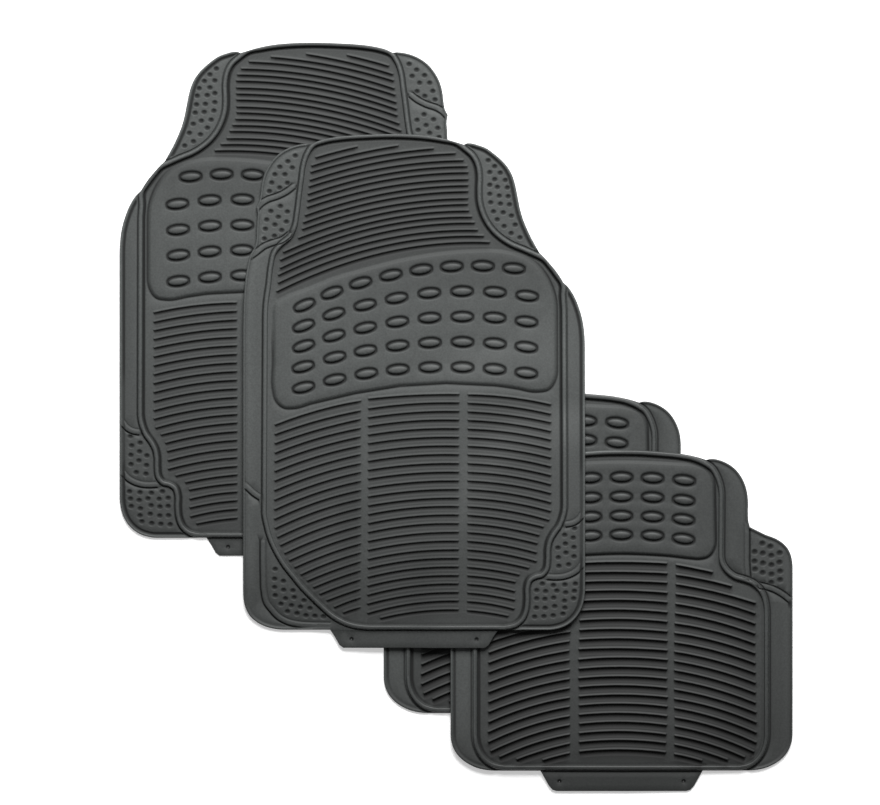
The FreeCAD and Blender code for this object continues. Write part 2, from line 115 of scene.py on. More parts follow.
FRONT_RIBS = [
    (-131, 632.2, -103.7, 639.8, -76.4, 646.3), (-136.5, 621, -79.2, 636.8, -21.9, 647.7),
    (-137.6, 612.5, -56.2, 633, 25.3, 643.9), (-138.5, 602, -41.9, 627.2, 54.7, 637.5),
    (-139.8, 593.4, -37.3, 618.9, 65.2, 628.2), (-141, 583.3, -35.4, 610.9, 70.3, 620.2),
    (-141.6, 574.5, -35, 602.7, 71.6, 612.1), (-142.3, 565.8, -35.4, 593.5, 71.6, 602.8),
    (-145, 554.8, -36.7, 584.6, 71.5, 594.8), (-147.3, 545.3, -37.9, 576.1, 71.5, 586.8),
    (-148.8, 536.3, -38.8, 566.9, 71.3, 577.4), (-154.1, 524.3, -41.5, 557.9, 71.1, 569.7),
    (-174.2, 505.5, -50.8, 547.3, 72.6, 560.8), (-178.2, 495.2, -50.9, 539.1, 76.5, 552.6),
    (-178.2, 484.5, -48.9, 530.7, 80.3, 544.7), (-180.9, 475.1, -48.3, 521.6, 84.4, 535),
    (-181, 464.6, -44.3, 513.6, 92.4, 527), (-183.1, 453.2, -41.4, 505, 100.4, 518.6),
    (-185.4, 274.8, -128.7, 294, -71.9, 306.6), (-185.4, 262.1, -128.8, 280.5, -72.2, 293.5),
    (-185.4, 250, -128.9, 268.3, -72.5, 282.1), (-185.4, 237.4, -128.9, 256.9, -72.5, 270.1),
    (-185.6, 225.6, -129, 244.9, -72.5, 258.8), (-185.6, 212.8, -129, 232.9, -72.5, 246.8),
    (-185.7, 200.1, -129.1, 220.5, -72.5, 235.1), (-186, 187.3, -129.1, 208.6, -72.3, 223.1),
    (-186, 174.5, -129, 196.3, -72.1, 211.5), (-186, 161.7, -129, 184.3, -72.1, 199.5),
    (-186.1, 148.9, -129, 172, -71.9, 187.5), (-185.3, 136.6, -128.7, 159.9, -72.1, 175.6),
    (-182.1, 124.6, -127, 147.9, -72, 163.8), (-178.2, 113.8, -125.1, 136.3, -72.1, 151.8),
    (-172.6, 103.1, -122.3, 124.4, -72.1, 140), (-166.2, 93.6, -119.1, 113.2, -72.1, 127.9),
    (-159.1, 84.3, -115.6, 102.1, -72.1, 116), (-151.1, 74.5, -111.7, 91.2, -72.3, 103.9),
    (-142.4, 66.2, -107.4, 80.3, -72.5, 91.9), (-134.1, 57.4, -103.3, 69.6, -72.5, 79.8),
    (-125.5, 48.5, -99.1, 58.9, -72.7, 67.8), (-116.2, 39.8, -94.4, 48.1, -72.7, 55.3),
    (-106.3, 30.8, -89.5, 37.8, -72.7, 43.4), (-94.3, 23.6, -83.6, 27.4, -72.9, 30.5),
    (-60.4, 309.5, -0.5, 314.5, 59.4, 315.6), (-60.4, 296.5, -0.5, 303.1, 59.4, 304.4),
    (-60.4, 284.6, -0.5, 291.5, 59.4, 292.9), (-60.6, 273.1, -0.7, 280.2, 59.2, 281.4),
    (-60.6, 261.4, -0.7, 268.6, 59.1, 269.9), (-60.7, 249.9, -0.8, 257.1, 59.1, 258.4),
    (-60.6, 238, -0.8, 245.5, 59, 246.7), (-60.7, 226.3, -0.9, 233.9, 58.8, 235.2),
    (-60.7, 214.4, -0.9, 221.7, 59, 223.3), (-60.7, 202.6, -0.9, 210.1, 59, 211.8),
    (-60.6, 190.6, -0.9, 198.2, 58.8, 200.2), (-60.7, 178.8, -1, 186.6, 58.7, 188.8),
    (-60.4, 166.9, -0.9, 175, 58.7, 177.3), (-60.4, 155.3, -0.9, 164.1, 58.7, 166.1),
    (-60.4, 143.3, -0.9, 152.5, 58.6, 154.8), (-60.6, 131.4, -0.9, 141, 58.7, 143.2),
    (-60.6, 119.4, -1, 128.9, 58.6, 131.7), (-60.8, 107.5, -1.1, 117.4, 58.6, 119.9),
    (-60.8, 95.4, -1.1, 105.6, 58.7, 108.4), (-61, 83.5, -1.1, 94.2, 58.7, 96.8),
    (-61.1, 71.5, -1.2, 82.6, 58.7, 85.4), (-61.4, 59.6, -1.3, 71.1, 58.7, 73.8),
    (-61.5, 47.4, -1.4, 59.6, 58.6, 62.7), (-61.6, 35.5, -1.5, 47.8, 58.6, 51.2),
    (-61.6, 22.9, -1.5, 36.2, 58.6, 39.8), (-44.4, 16.3, 7.1, 25.7, 58.6, 28),
    (72.7, 315.1, 127.5, 311.5, 182.3, 301.9), (72.7, 303.8, 127.5, 299.3, 182.2, 289.4),
    (72.7, 292.3, 127.5, 287.7, 182.2, 278.1), (72.7, 280.9, 127.5, 276.4, 182.2, 266.3),
    (72.7, 269.3, 127.4, 264.9, 182.1, 254.8), (72.7, 257.8, 127.4, 253.3, 182.1, 243),
    (72.7, 246.3, 127.4, 241.6, 182.1, 231), (72.7, 234.8, 127.5, 230.1, 182.2, 219.1),
    (72.6, 223.2, 127.4, 218.3, 182.2, 207.2), (72.6, 211.7, 127.4, 206.8, 182.2, 195.2),
    (72.3, 200.1, 127.3, 195, 182.3, 183.4), (72.3, 188.7, 127.3, 183.2, 182.2, 171.1),
    (72.3, 177.1, 127.2, 171.6, 182.1, 159.5), (72.3, 165.8, 126.1, 160.1, 179.9, 147.6),
    (72.3, 154.4, 122.4, 148.9, 172.5, 138.4), (72.3, 142.8, 119.4, 137.7, 166.6, 127.3),
    (72.3, 131.3, 118.2, 126.2, 164.2, 116.4), (72.3, 119.6, 117.8, 114.4, 163.2, 104.1),
    (72.3, 108.1, 117.6, 102.7, 163, 92.5), (72.3, 96.4, 112.6, 91.8, 152.9, 83.5),
    (72.1, 84.9, 106.1, 81, 140.1, 74.5), (72.2, 73.4, 103.5, 70.2, 134.8, 64.7),
    (72.1, 62, 103.1, 58.8, 134.1, 52.4), (72.1, 50.4, 103.1, 47, 134.1, 40.8),
    (72, 38.9, 102.6, 35.6, 133.2, 28.9), (72, 26.9, 98.6, 24.1, 125.2, 19.3),
]
FRONT_STUDS = [
    (-146.7, 433.5, 23), (-109.9, 450.1, 20), (-71.5, 463.3, 15), (-31, 473.8, 12), (9.6, 481.1, 8),
    (50.4, 485.3, 3), (92.1, 486, -2), (133.6, 482.9, -4), (-147.7, 405.9, 20), (-107.3, 421.8, 18),
    (-65.6, 433.8, 13), (-23.3, 443, 10), (20.3, 449.8, 5), (64.2, 452.2, 1), (108.2, 451.1, -4),
    (151.4, 446.1, -6), (-147.6, 378.9, 18), (-107.1, 392.7, 16), (-65.3, 403.4, 12), (-22.4, 411.3, 8),
    (20.7, 416.6, 4), (64.5, 418.1, 0), (107.8, 416.9, -4), (150.4, 411.7, -6), (-148.2, 351.2, 15),
    (-106.1, 363.8, 13), (-65, 372.8, 10), (-22.1, 379.5, 7), (21.2, 383.5, 3), (64.8, 384.4, -1),
    (108.2, 382.5, -5), (150.1, 377.7, -7), (-147.9, 323.6, 13), (-106.1, 334, 12), (-63.8, 342.3, 9),
    (-21.8, 347.6, 5), (21.5, 350.6, 2), (64.8, 350.7, -1), (107.8, 348.2, -5), (150.1, 342.9, -6),
]
FRONT_PITS = [
    (99.3, 627.6), (107.9, 619.6), (101.3, 611.6), (115.3, 610.9), (107.9, 602.2), (122.3, 601.2),
    (101.3, 594.6), (111.6, 591.9), (125, 591.2), (101.3, 582.5), (114, 580.2), (126, 579.5),
    (102.6, 571.2), (115.6, 569.5), (127.7, 568.5), (106.3, 559.1), (119.3, 557.8), (130.3, 553.5),
    (111.3, 548.4), (120.6, 539.4), (135.4, 541.4), (130, 530.1), (141.7, 524.4), (-158.8, 633.7),
    (-168.8, 626), (-179.5, 618.6), (-162.8, 617.6), (-186.2, 608.6), (-172.8, 608.6), (-190.5, 597.6),
    (-169.4, 597.2), (-179.8, 590.9), (-193.5, 586.2), (-178.8, 566.2), (-191.5, 559.5),
    (-169.4, 558.8), (-181.5, 551.8), (-197.2, 548.1), (-170.8, 545.4), (-186.2, 541.4),
    (-198.9, 535.7), (-177.1, 534.1), (-186.8, 526.4), (-200.2, 522.7), (214.2, 135.7), (201.2, 126.7),
    (212.6, 123), (202.2, 115), (213.6, 110.3), (192.2, 109.6), (202.9, 102.9), (192.8, 96.6),
    (213.6, 97.9), (193.5, 85.2), (206.5, 87.2), (171.4, 61.5), (186.2, 59.5), (201.5, 60.2),
    (215.6, 61.5), (163.8, 52.8), (175.8, 51.5), (190.8, 52.1), (202.5, 49.8), (214.2, 51.8),
    (163.8, 41.8), (174.8, 41.1), (186.5, 42.8), (200.9, 38.8), (213.2, 41.8), (163.4, 29.4),
    (175.1, 29.1), (187.8, 31.4), (201.5, 29.4), (161.1, 17.4), (173.5, 18), (185.8, 19.1),
    (198.9, 21.4), (-185.8, 80.9), (-186.6, 67.8), (-174.8, 64.8), (-186.6, 56.5), (-174.5, 52.8),
    (-162.1, 52.1), (-185.8, 45.5), (-172.1, 41.4), (-160.4, 42.8), (-147.4, 38.8), (-178.1, 34.1),
    (-164.1, 32.1), (-152.1, 30.1), (-139.4, 28.3), (-169.4, 24.1), (-156.7, 21.4), (-144.7, 18.7),
    (-132.7, 18), (-121.3, 17.4),
]
FRONT_SEAMS = [
    [(-161.1, 592.9), (-169.8, 586.2), (-183.1, 579.5), (-195.2, 575.5), (-203.9, 570.2), (-209.2, 564.8)],
    [(-167.1, 528.1), (-175.1, 522), (-189.8, 517.1), (-200.5, 512.7), (-208.5, 506.7), (-217.2, 500)],
    [(202.5, 141.3), (210.6, 142.6), (217.9, 146.3), (223.3, 152), (227.3, 159.1)],
    [(179.1, 71.1), (189.8, 70.6), (200.5, 71.7), (209.9, 74.9), (218.6, 80.5), (224.6, 87.6)],
    [(-227.9, 195), (-220.6, 188.4), (-213.9, 182.3), (-205.2, 176.6)],
    [(-201.9, 119), (-202, 104.3), (-201.7, 73.5), (-200.7, 50.8), (-197.3, 36.1), (-190.5, 26.7), (-181.8, 17.4), (-169.8, 10.7), (-155.1, 7.2), (-136.4, 5.9), (-112.3, 5.6)],
]
REAR_HALF = [
    [(0, 429.1), (24.4, 428.7), (51.1, 427), (77.9, 424.3), (93.9, 421.4), (104.6, 418.7), (113.3, 415.8)],
    [(113.3, 415.8), (117.3, 417.1), (123.3, 417.2), (131.3, 415.5), (140.7, 411.5), (150.1, 405.1), (158.1, 396), (163.4, 386.3), (167.2, 375), (168.8, 362.3), (168.8, 342.2), (169.2, 334.2), (171.4, 326.2)],
    [(171.4, 326.2), (176.8, 323.5), (184.8, 319.5), (194.2, 315.1), (203.5, 311.8), (211.6, 307.5), (219.6, 300.8), (224.9, 292.8), (228, 282.1), (228.9, 267.4), (228.9, 50.8), (228, 40.1), (224.9, 30.1), (219.6, 21.4), (211.6, 13.6), (202.2, 7.6), (191.5, 3.2), (179.5, 0.8), (164.8, 0), (108.6, 0)],
]
REAR_TAB = [
    (108.6, 0), (103.3, -9.4), (97.4, -20.1), (92.3, -25.9), (86.6, -27.5), (0, -27.5),
]
REAR_BEAD = [
    (0, 425.8), (24.5, 425.4), (51.2, 423.6), (78, 420.9), (95.5, 417.5), (110, 411.5), (120.7, 404),
    (127, 393.7), (131.5, 380.4), (132.9, 363.6), (132.4, 291.4), (134.1, 277.9), (141.3, 266.9),
    (150.8, 259.7), (162.9, 255.8), (173.8, 251.7), (182.8, 244.6), (189.3, 234.4), (192.8, 221.3),
    (193.6, 204.5), (193.7, 50.8), (192.6, 37.4), (188.8, 25.4), (182.2, 15.4), (173, 8.1),
    (160.6, 4.5), (141.8, 4.1), (0, 4.1),
]
REAR_BEAD_LEFT = [
    (-144, 4.4), (-162.8, 5.3), (-174.8, 9), (-183.9, 16), (-190.6, 25.7), (-194.7, 37.4),
    (-195.9, 50.8), (-195.9, 204.5), (-194.5, 221.2), (-189.9, 234.2), (-182.6, 244.1), (-173.5, 251.1),
    (-162.8, 255.3), (-150.7, 259.6), (-141.5, 267.1), (-134.7, 278.1), (-132.9, 291.4),
    (-132.8, 363.6), (-131.3, 380.3), (-126.9, 393.7), (-120.6, 404), (-110, 411.5), (-95.5, 417.5),
    (-78, 420.9), (-51.2, 423.6), (-24.5, 425.4),
]
REAR_PAD = [
    (-0, 413), (37.7, 412.1), (71.2, 410.4), (96.9, 408.6), (111.3, 402.7), (119.6, 392.2),
    (122.4, 378.3), (123.6, 310.1), (122, 297.6), (115.3, 288), (103.9, 285), (91.2, 285.8),
    (64.5, 288.9), (37.8, 290.7), (0.1, 291.9),
]
REAR_HOLES = [
    (83.2, -14.4),
]
REAR_RIBS = [
    (-55, 278.1, 2.3, 279.6, 59.7, 277.6), (-55, 265.5, 2.5, 266.3, 60.1, 264.3),
    (-55, 252.9, 2.5, 253.9, 60, 251.8), (-55, 240.3, 2.6, 241.4, 60.2, 238.2),
    (-55, 227.3, 2.5, 228.9, 60, 225.6), (-55, 214.3, 2.6, 215.9, 60.2, 212.2),
    (-55.4, 201.4, 2.4, 203.4, 60.1, 199.6), (-55.6, 188.5, 2.3, 190, 60.2, 186.5),
    (-55.9, 175.7, 2.1, 177.5, 60.2, 173.9), (-56.5, 162.9, 1.8, 164.2, 60.2, 161.2),
    (-57, 149.1, 1.7, 151.9, 60.5, 148.5), (-56.5, 136.7, 1.5, 139.4, 59.6, 136),
    (-57, 124.1, 1.3, 126.8, 59.6, 123.4), (-56.1, 112.3, 1.7, 114.8, 59.6, 111),
    (-56.2, 99.7, 2.2, 102.3, 60.6, 98.6), (-56.2, 87.8, 2, 90.3, 60.2, 86.2),
    (-56.2, 75.2, 1.8, 77.8, 59.9, 73.5), (-55.8, 63.2, 1.9, 66, 59.6, 61.6),
    (-56.1, 50.6, 1.3, 53.5, 58.6, 49), (-55.9, 38.8, 1.2, 41.6, 58.4, 37.5),
    (-55.8, 26.1, 1.1, 29, 58.1, 24.9), (73.5, 275.5, 97.1, 271.1, 120.8, 266),
    (-117.6, 266.8, -93.1, 271.9, -68.7, 276), (73.5, 262.2, 109.9, 256.1, 146.3, 247.3),
    (-143, 248.1, -105.9, 256.9, -68.8, 263), (73.5, 249.6, 125.9, 239.5, 178.3, 224.7),
    (-175.1, 226.1, -122, 240.8, -69, 250.1), (73.3, 236.4, 125.7, 226.7, 178, 210.8),
    (-175.5, 212.8, -122.3, 227.6, -69.1, 237.2), (72.9, 223.4, 125.4, 213.2, 177.9, 197.1),
    (-175.9, 199.5, -122.6, 214.5, -69.2, 224.3), (72.5, 210.7, 125.1, 200.2, 177.7, 183.7),
    (-176.3, 186, -122.8, 201.4, -69.3, 211.5), (72, 197.2, 124.9, 187.1, 177.7, 170.3),
    (-177.1, 172.4, -123.3, 188.4, -69.5, 198.8), (71.5, 184.6, 124.7, 174.1, 177.9, 157.4),
    (-176.9, 158.5, -123.3, 175.4, -69.6, 186), (71.4, 171.9, 124.8, 161.2, 178.1, 144.1),
    (-177.1, 145, -123.9, 162.3, -70.7, 173.3), (71.3, 159.4, 124.8, 148.3, 178.3, 131.1),
    (-177.2, 132, -124.2, 149.4, -71.2, 160.7), (71.2, 146.9, 124.9, 135.4, 178.5, 117.8),
    (-177.2, 118.7, -124, 136.6, -70.9, 147.9), (71.2, 134.5, 124.9, 122.5, 178.5, 104.5),
    (-177.2, 105.7, -123.9, 123.7, -70.5, 135.5), (71.2, 121.6, 124.8, 109.8, 178.5, 91.1),
    (-177.2, 92.4, -123.9, 111.1, -70.5, 122.9), (71.2, 108.8, 125.2, 96.9, 179.2, 78.1),
    (-177.3, 79.2, -123.9, 98.2, -70.5, 110.5), (71.2, 96.3, 125.4, 84.5, 179.6, 64.7),
    (-177.3, 65.6, -123.9, 85.8, -70.5, 97.9), (71.3, 84.1, 125.5, 71.6, 179.7, 51.1),
    (-177.7, 52.3, -124.1, 73, -70.5, 85.8), (71.9, 71.4, 125.8, 58.9, 179.7, 37.8),
    (-177.5, 39, -124, 60.4, -70.5, 73.2), (71.9, 59.6, 124.3, 46.5, 176.7, 25.4),
    (-174.4, 26.6, -122.5, 48, -70.5, 61.4), (71.6, 47.1, 117.9, 36, 164.2, 18.1),
    (-162.6, 18.9, -116.5, 37.2, -70.4, 48.7), (71.6, 35.1, 106.5, 26.7, 141.4, 14.8),
    (-139.9, 15.6, -105.1, 27.5, -70.4, 36.5), (71.3, 22.3, 89.2, 18.6, 107, 13.6),
    (-104.9, 14.6, -87.6, 19.6, -70.4, 23.7),
]
REAR_STUDS = [
    (-83.5, 388.3, 7), (-41.9, 391.1, 3), (-0.3, 392.2, 0), (41.2, 391, -3), (83.5, 388.2, -7),
    (-83.5, 362, 7), (-41.9, 364.8, 3), (-0.7, 366.2, 0), (41.2, 365.3, -3), (82.8, 361.5, -7),
    (-83.5, 336.3, 7), (-41.9, 339.1, 3), (-0.7, 340.5, 0), (41.2, 339.3, -3), (82.5, 335.8, -7),
    (-83.5, 311.2, 7), (-41.9, 314, 3), (-0.7, 315.4, 0), (41.2, 314.2, -3), (82.5, 309.7, -7),
]
REAR_PITS = [
    (188.2, 303.7), (198.9, 299.5), (177.9, 292.5), (188.8, 290.6), (200.3, 287.4), (211.6, 290.9),
    (177.8, 279.9), (189.1, 277.3), (200.6, 274.9), (211.2, 278.3), (188.8, 264.7), (200.6, 262.3),
    (212.2, 266.3), (178.4, 269.2), (212.2, 254.9), (200.3, 251.3),
]
REAR_SEAMS = [
    [(167.4, 329.5), (167.4, 302.1), (167.4, 275.4), (168.5, 259.3)],
    [(185.5, 247.6), (195.5, 245.2), (206.2, 241.2), (216.2, 235.3), (225.6, 227.9)],
]


# ---- plane curves ---------------------------------------------------------------------------
def mirrored(points):
    return [(-p[0], p[1]) for p in reversed(points)]


def resample(points, closed=False, step=3.0, long_run=55.0, long_step=9.0):
    """Smooth curve through the points; a gap longer than long_run stays straight."""
    P = np.array(points, float)
    n = len(P)
    segs = n if closed else n - 1
    chord = [P[(i + 1) % n] - P[i] for i in range(segs)]
    length = [float(np.hypot(*c)) for c in chord]
    tan = []
    for i in range(n):
        before = (i - 1) % n if closed else (i - 1 if i > 0 else None)
        after = i if (closed or i < n - 1) else None
        if before is None:
            t = chord[after] / length[after]
        elif after is None:
            t = chord[before] / length[before]
        elif length[before] > long_run:
            t = chord[before] / length[before]
        elif length[after] > long_run:
            t = chord[after] / length[after]
        else:
            t = (chord[before] / length[before] * length[after]
                 + chord[after] / length[after] * length[before])
            t = t / np.hypot(*t)
        tan.append(t)
    out = []
    for i in range(segs):
        a, b = P[i], P[(i + 1) % n]
        L = length[i]
        if L > long_run:
            k = max(1, math.ceil(L / long_step))
            for s in range(k):
                out.append(a + (b - a) * s / k)
        else:
            k = max(1, math.ceil(L / step))
            m0, m1 = tan[i] * L, tan[(i + 1) % n] * L
            for s in range(k):
                t = s / k
                out.append((2 * t**3 - 3 * t**2 + 1) * a + (t**3 - 2 * t**2 + t) * m0
                           + (-2 * t**3 + 3 * t**2) * b + (t**3 - t**2) * m1)
    if not closed:
        out.append(P[-1])
    return np.array(out)


def straight(points, step=3.0):
    out = []
    for a, b in zip(points, points[1:]):
        a, b = np.array(a, float), np.array(b, float)
        k = max(1, math.ceil(np.hypot(*(b - a)) / step))
        out += [a + (b - a) * s / k for s in range(k)]
    out.append(np.array(points[-1], float))
    return np.array(out)


def joined(parts):
    out = [parts[0]]
    for p in parts[1:]:
        out.append(p[1:] if np.hypot(*(p[0] - out[-1][-1])) < 0.2 else p)
    return np.concatenate(out)


def dist_to(P, Q, closed):
    """Distance of each point of P to the polyline Q."""
    A = Q if closed else Q[:-1]
    B = np.roll(Q, -1, axis=0) if closed else Q[1:]
    E = B - A
    L2 = np.maximum((E * E).sum(1), 1e-12)
    best = np.empty(len(P))
    for s in range(0, len(P), 3000):
        p = P[s:s + 3000]
        dx = p[:, None, 0] - A[None, :, 0]
        dy = p[:, None, 1] - A[None, :, 1]
        t = np.clip((dx * E[:, 0] + dy * E[:, 1]) / L2, 0, 1)
        best[s:s + 3000] = np.sqrt(((dx - t * E[:, 0]) ** 2 + (dy - t * E[:, 1]) ** 2).min(1))
    return best


def inside(P, Q):
    """True for each point of P inside the closed polyline Q."""
    A, B = Q, np.roll(Q, -1, axis=0)
    out = np.zeros(len(P), bool)
    for s in range(0, len(P), 3000):
        p = P[s:s + 3000]
        up = (A[None, :, 1] > p[:, None, 1]) != (B[None, :, 1] > p[:, None, 1])
        dy = B[:, 1] - A[:, 1]
        dy = np.where(dy == 0, 1e-12, dy)
        x = A[None, :, 0] + (p[:, None, 1] - A[None, :, 1]) * (B[:, 0] - A[:, 0]) / dy
        out[s:s + 3000] = (up & (p[:, None, 0] < x)).sum(1) % 2 == 1
    return out


def normals_of(Q, closed):
    if closed:
        t = np.roll(Q, -1, axis=0) - np.roll(Q, 1, axis=0)
    else:
        t = np.gradient(Q, axis=0)
    t /= np.maximum(np.hypot(t[:, 0], t[:, 1]), 1e-9)[:, None]
    return np.stack([-t[:, 1], t[:, 0]], 1)


# ---- the two mouldings --------------------------------------------------------------------------
def moulding(kind):
    if kind == "front":
        first = joined([resample(s) for s in FRONT_BODY])
        second = joined([resample(s) for s in FRONT_BODY_2])
        tab = straight(FRONT_TAB, 4.0)
        outline = joined([first, tab, second])[:-1]
        return {"outline": outline, "open_body": [first, second],
                "bead": resample(FRONT_BEAD, True), "pad": resample(FRONT_PAD, True, 4.0),
                "holes": FRONT_HOLES, "ribs": FRONT_RIBS, "studs": FRONT_STUDS,
                "pits": FRONT_PITS, "seams": FRONT_SEAMS, "lip": 0.12,
                "seam_cuts": [(0.8, 0.8), (0.8, 0.8), (1, 0.3), (1, 0.3), (1, 0.3), (1, 0.3)]}
    right = joined([resample(s) for s in REAR_HALF])
    left = right[::-1] * np.array([-1.0, 1.0])
    half_tab = straight(REAR_TAB, 4.0)
    tab = joined([half_tab, half_tab[::-1] * np.array([-1.0, 1.0])])
    outline = joined([right, tab, left])[:-1]
    return {"outline": outline, "open_body": [joined([left, right])],
            "bead": resample(REAR_BEAD + REAR_BEAD_LEFT, True),
            "pad": resample(REAR_PAD + mirrored(REAR_PAD)[1:-1], True, 4.0),
            "holes": REAR_HOLES + mirrored(REAR_HOLES), "ribs": REAR_RIBS,
            "studs": REAR_STUDS, "pits": REAR_PITS + mirrored(REAR_PITS),
            "seams": REAR_SEAMS + [mirrored(s)[::-1] for s in REAR_SEAMS], "lip": 0.4,
            "seam_cuts": [(0.2, 1), (0.9, 0.9), (1, 0.2), (0.9, 0.9)]}


def rib_line(rib, step=6.0):
    a, m, b = np.array(rib[0:2]), np.array(rib[2:4]), np.array(rib[4:6])
    c = 2 * m - (a + b) / 2
    k = max(2, math.ceil(np.hypot(*(b - a)) / step))
    t = np.linspace(0, 1, k + 1)[:, None]
    return (1 - t) ** 2 * a + 2 * t * (1 - t) * c + t * t * b


def capsule(Q, up, low):
    """Closed outline round an open line: up beyond it on the left, low on the right."""
    N = normals_of(Q, False)
    left, right = Q + N * up, (Q - N * low)[::-1]
    d1, d0 = Q[-1] - Q[-2], Q[0] - Q[1]
    a1, a0 = math.atan2(d1[1], d1[0]), math.atan2(d0[1], d0[0])
    mean = (up + low) / 2

    def cap(centre, angle, first, last):
        out = []
        for w, f in ((60, 0.85), (20, 0.5), (-20, 0.5), (-60, 0.15)):
            r = first * f + last * (1 - f) if w in (60, -60) else mean
            out.append(centre + r * np.array([math.cos(angle + math.radians(w)),
                                              math.sin(angle + math.radians(w))]))
        return out

    return np.concatenate([left, cap(Q[-1], a1, up, low), right, cap(Q[0], a0, low, up)])


def smoothstep(x, lo, hi):
    t = np.clip((x - lo) / (hi - lo), 0, 1)
    return t * t * (3 - 2 * t)


def ridge(d, w, h, p=2.4, q=0.75):
    t = np.clip(d / w, 0, 1)
    return h * (1 - t**p) ** q


def channel(d, lo, hi, depth, skew=1.0):
    t = np.clip((d - lo) / (hi - lo), 0, 1) ** skew
    return -depth * np.sin(math.pi * t) ** 2


